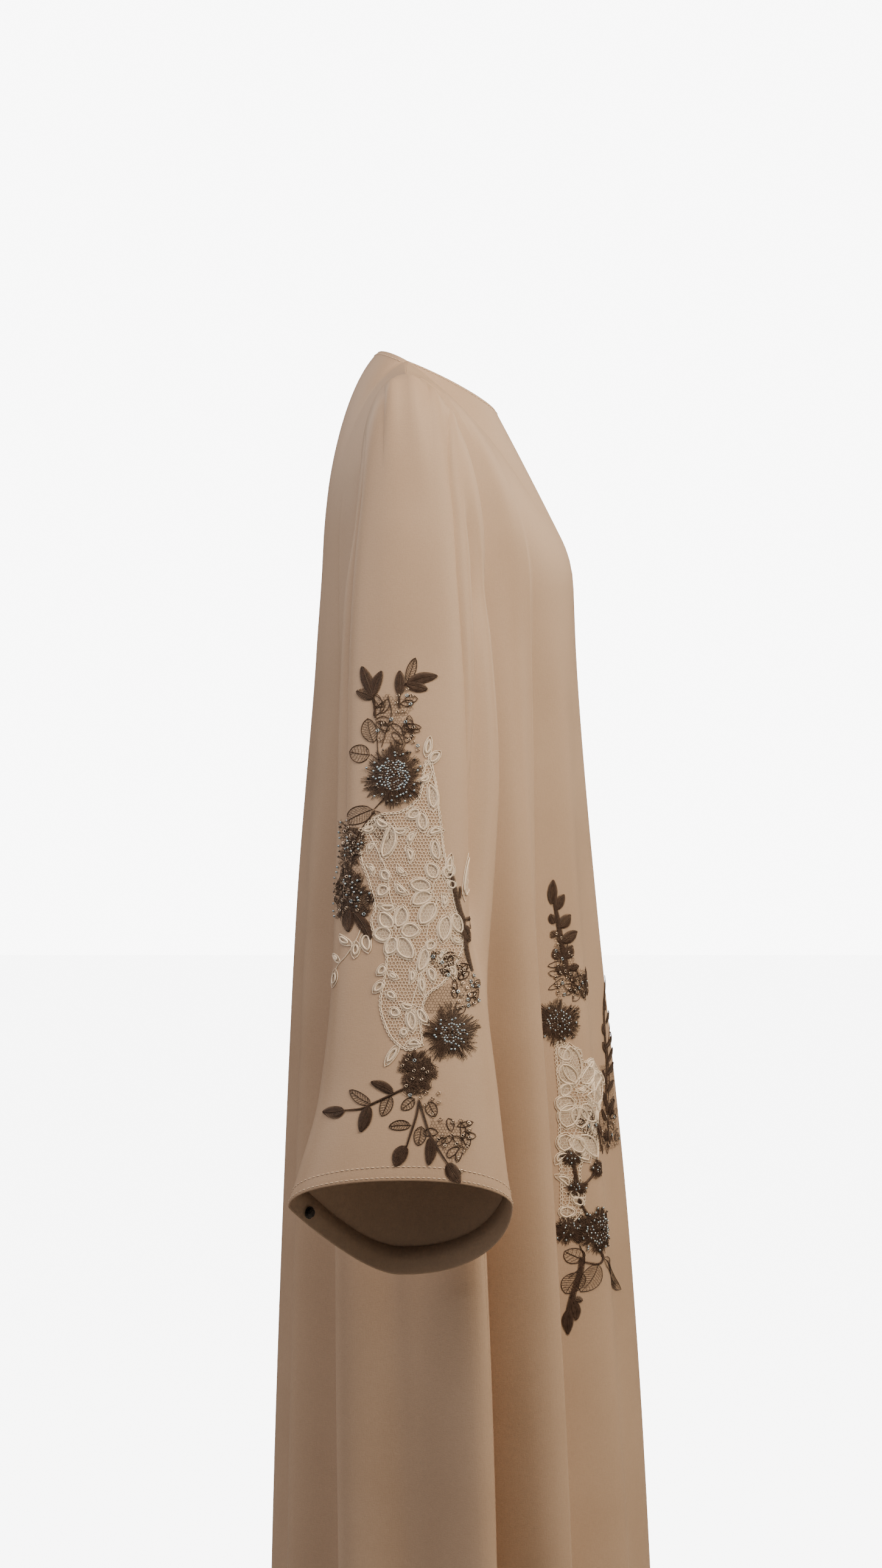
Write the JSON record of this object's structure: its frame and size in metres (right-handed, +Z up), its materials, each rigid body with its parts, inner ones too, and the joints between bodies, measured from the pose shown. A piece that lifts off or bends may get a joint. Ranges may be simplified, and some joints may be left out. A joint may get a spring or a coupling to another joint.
{
  "type": "abaya cloak",
  "caption": "Full-length open-front abaya in fluid crepe with long bell sleeves, a plain round neckline and beaded floral lace on the sleeves and fronts.",
  "frame": {"origin": "midway between the two side neck points, where the wearer's shoulders hold the cloak", "axes": "+Z up along the wearer's spine, -Y the way the wearer faces, -X the wearer's right"},
  "size_m": [0.8218, 0.3702, 1.4362],
  "materials": {
    "taupe_crepe": "fluid matte crepe with a faint sheen",
    "ivory_lace": "fine corded lace on net",
    "brown_beaded_lace": "embroidered lace with beads and sequins",
    "black_snap": "faceted, polished"
  },
  "bodies": {
    "root": {"back": "taupe_crepe", "front_right": "taupe_crepe", "front_left": "taupe_crepe", "sleeve_right": "taupe_crepe", "sleeve_left": "taupe_crepe", "lace_sleeve_right": "ivory_lace", "lace_front_right": "ivory_lace", "spray_upper_sleeve_right": "brown_beaded_lace", "spray_lower_sleeve_right": "brown_beaded_lace", "spray_front_right": "brown_beaded_lace", "spray_edge_right": "brown_beaded_lace", "snap_right": "black_snap", "lace_sleeve_left": "ivory_lace", "lace_front_left": "ivory_lace", "spray_upper_sleeve_left": "brown_beaded_lace", "spray_lower_sleeve_left": "brown_beaded_lace", "spray_front_left": "brown_beaded_lace", "spray_edge_left": "brown_beaded_lace", "snap_left": "black_snap"}
  },
  "joints": []
}
